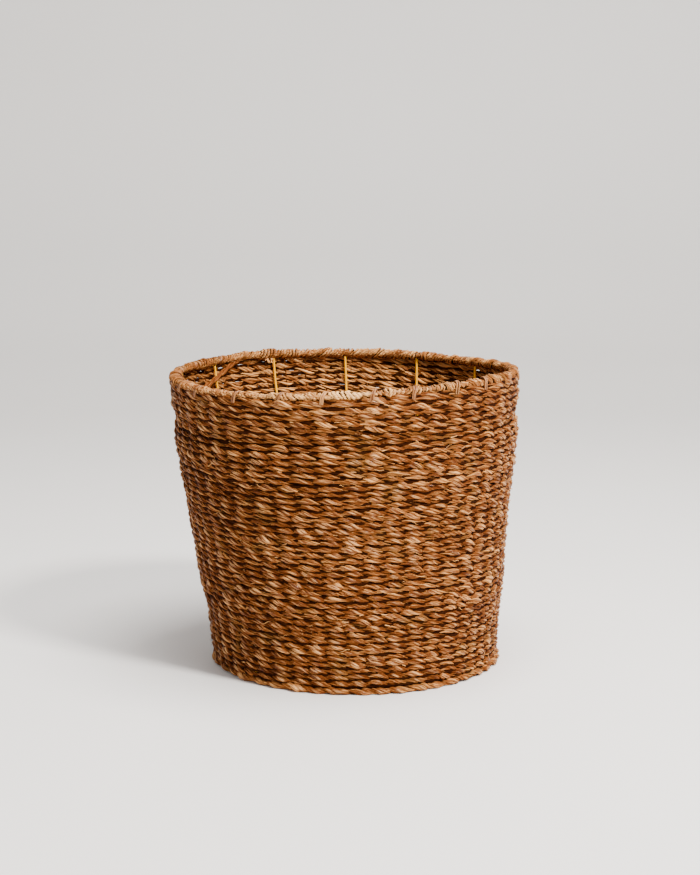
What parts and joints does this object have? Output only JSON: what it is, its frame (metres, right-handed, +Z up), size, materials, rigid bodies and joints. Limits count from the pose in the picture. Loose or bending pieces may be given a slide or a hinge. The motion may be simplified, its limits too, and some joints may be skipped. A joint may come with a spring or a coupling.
{
  "type": "woven storage basket",
  "caption": "Round tapered belly basket, twined from seagrass over a painted wire frame, open at the top, with a whipped rim.",
  "frame": {"origin": "on the floor, under the middle of the rim", "axes": "+Z up through the open mouth; the picture looks along +Y, with +X to its right"},
  "size_m": [0.423, 0.423, 0.3642],
  "materials": {
    "golden_paint": "golden yellow paint on round steel wire, satin",
    "seagrass_wall": "dried seagrass twisted into strands, matte to silky, warm brown with paler and darker strands",
    "seagrass_heel": "the same seagrass in a thicker course",
    "seagrass_base": "the same seagrass, woven flat",
    "seagrass_whipping": "paler seagrass strand wound closely round the rim",
    "seagrass_lashing": "pale seagrass strand that ties the rim down"
  },
  "bodies": {
    "root": {"frame_bottom_hoop": "golden_paint", "frame_top_hoop": "golden_paint", "frame_upright_01": "golden_paint", "frame_upright_02": "golden_paint", "frame_upright_03": "golden_paint", "frame_upright_04": "golden_paint", "frame_upright_05": "golden_paint", "frame_upright_06": "golden_paint", "frame_upright_07": "golden_paint", "frame_upright_08": "golden_paint", "frame_upright_09": "golden_paint", "frame_upright_10": "golden_paint", "frame_upright_11": "golden_paint", "frame_upright_12": "golden_paint", "frame_upright_13": "golden_paint", "heel_course": "seagrass_heel", "rim_lashing_01": "seagrass_lashing", "rim_lashing_02": "seagrass_lashing", "rim_lashing_03": "seagrass_lashing", "rim_lashing_04": "seagrass_lashing", "rim_lashing_05": "seagrass_lashing", "rim_lashing_06": "seagrass_lashing", "rim_lashing_07": "seagrass_lashing", "rim_lashing_08": "seagrass_lashing", "rim_lashing_09": "seagrass_lashing", "rim_lashing_10": "seagrass_lashing", "rim_lashing_11": "seagrass_lashing", "rim_lashing_12": "seagrass_lashing", "rim_lashing_13": "seagrass_lashing", "rim_lashing_14": "seagrass_lashing", "rim_lashing_15": "seagrass_lashing", "rim_lashing_16": "seagrass_lashing", "rim_lashing_17": "seagrass_lashing", "rim_lashing_18": "seagrass_lashing", "rim_lashing_19": "seagrass_lashing", "rim_lashing_20": "seagrass_lashing", "rim_lashing_21": "seagrass_lashing", "rim_lashing_22": "seagrass_lashing", "rim_lashing_23": "seagrass_lashing", "rim_lashing_24": "seagrass_lashing", "rim_wrap": "seagrass_whipping", "woven_base": "seagrass_base", "woven_wall": "seagrass_wall"}
  },
  "joints": []
}
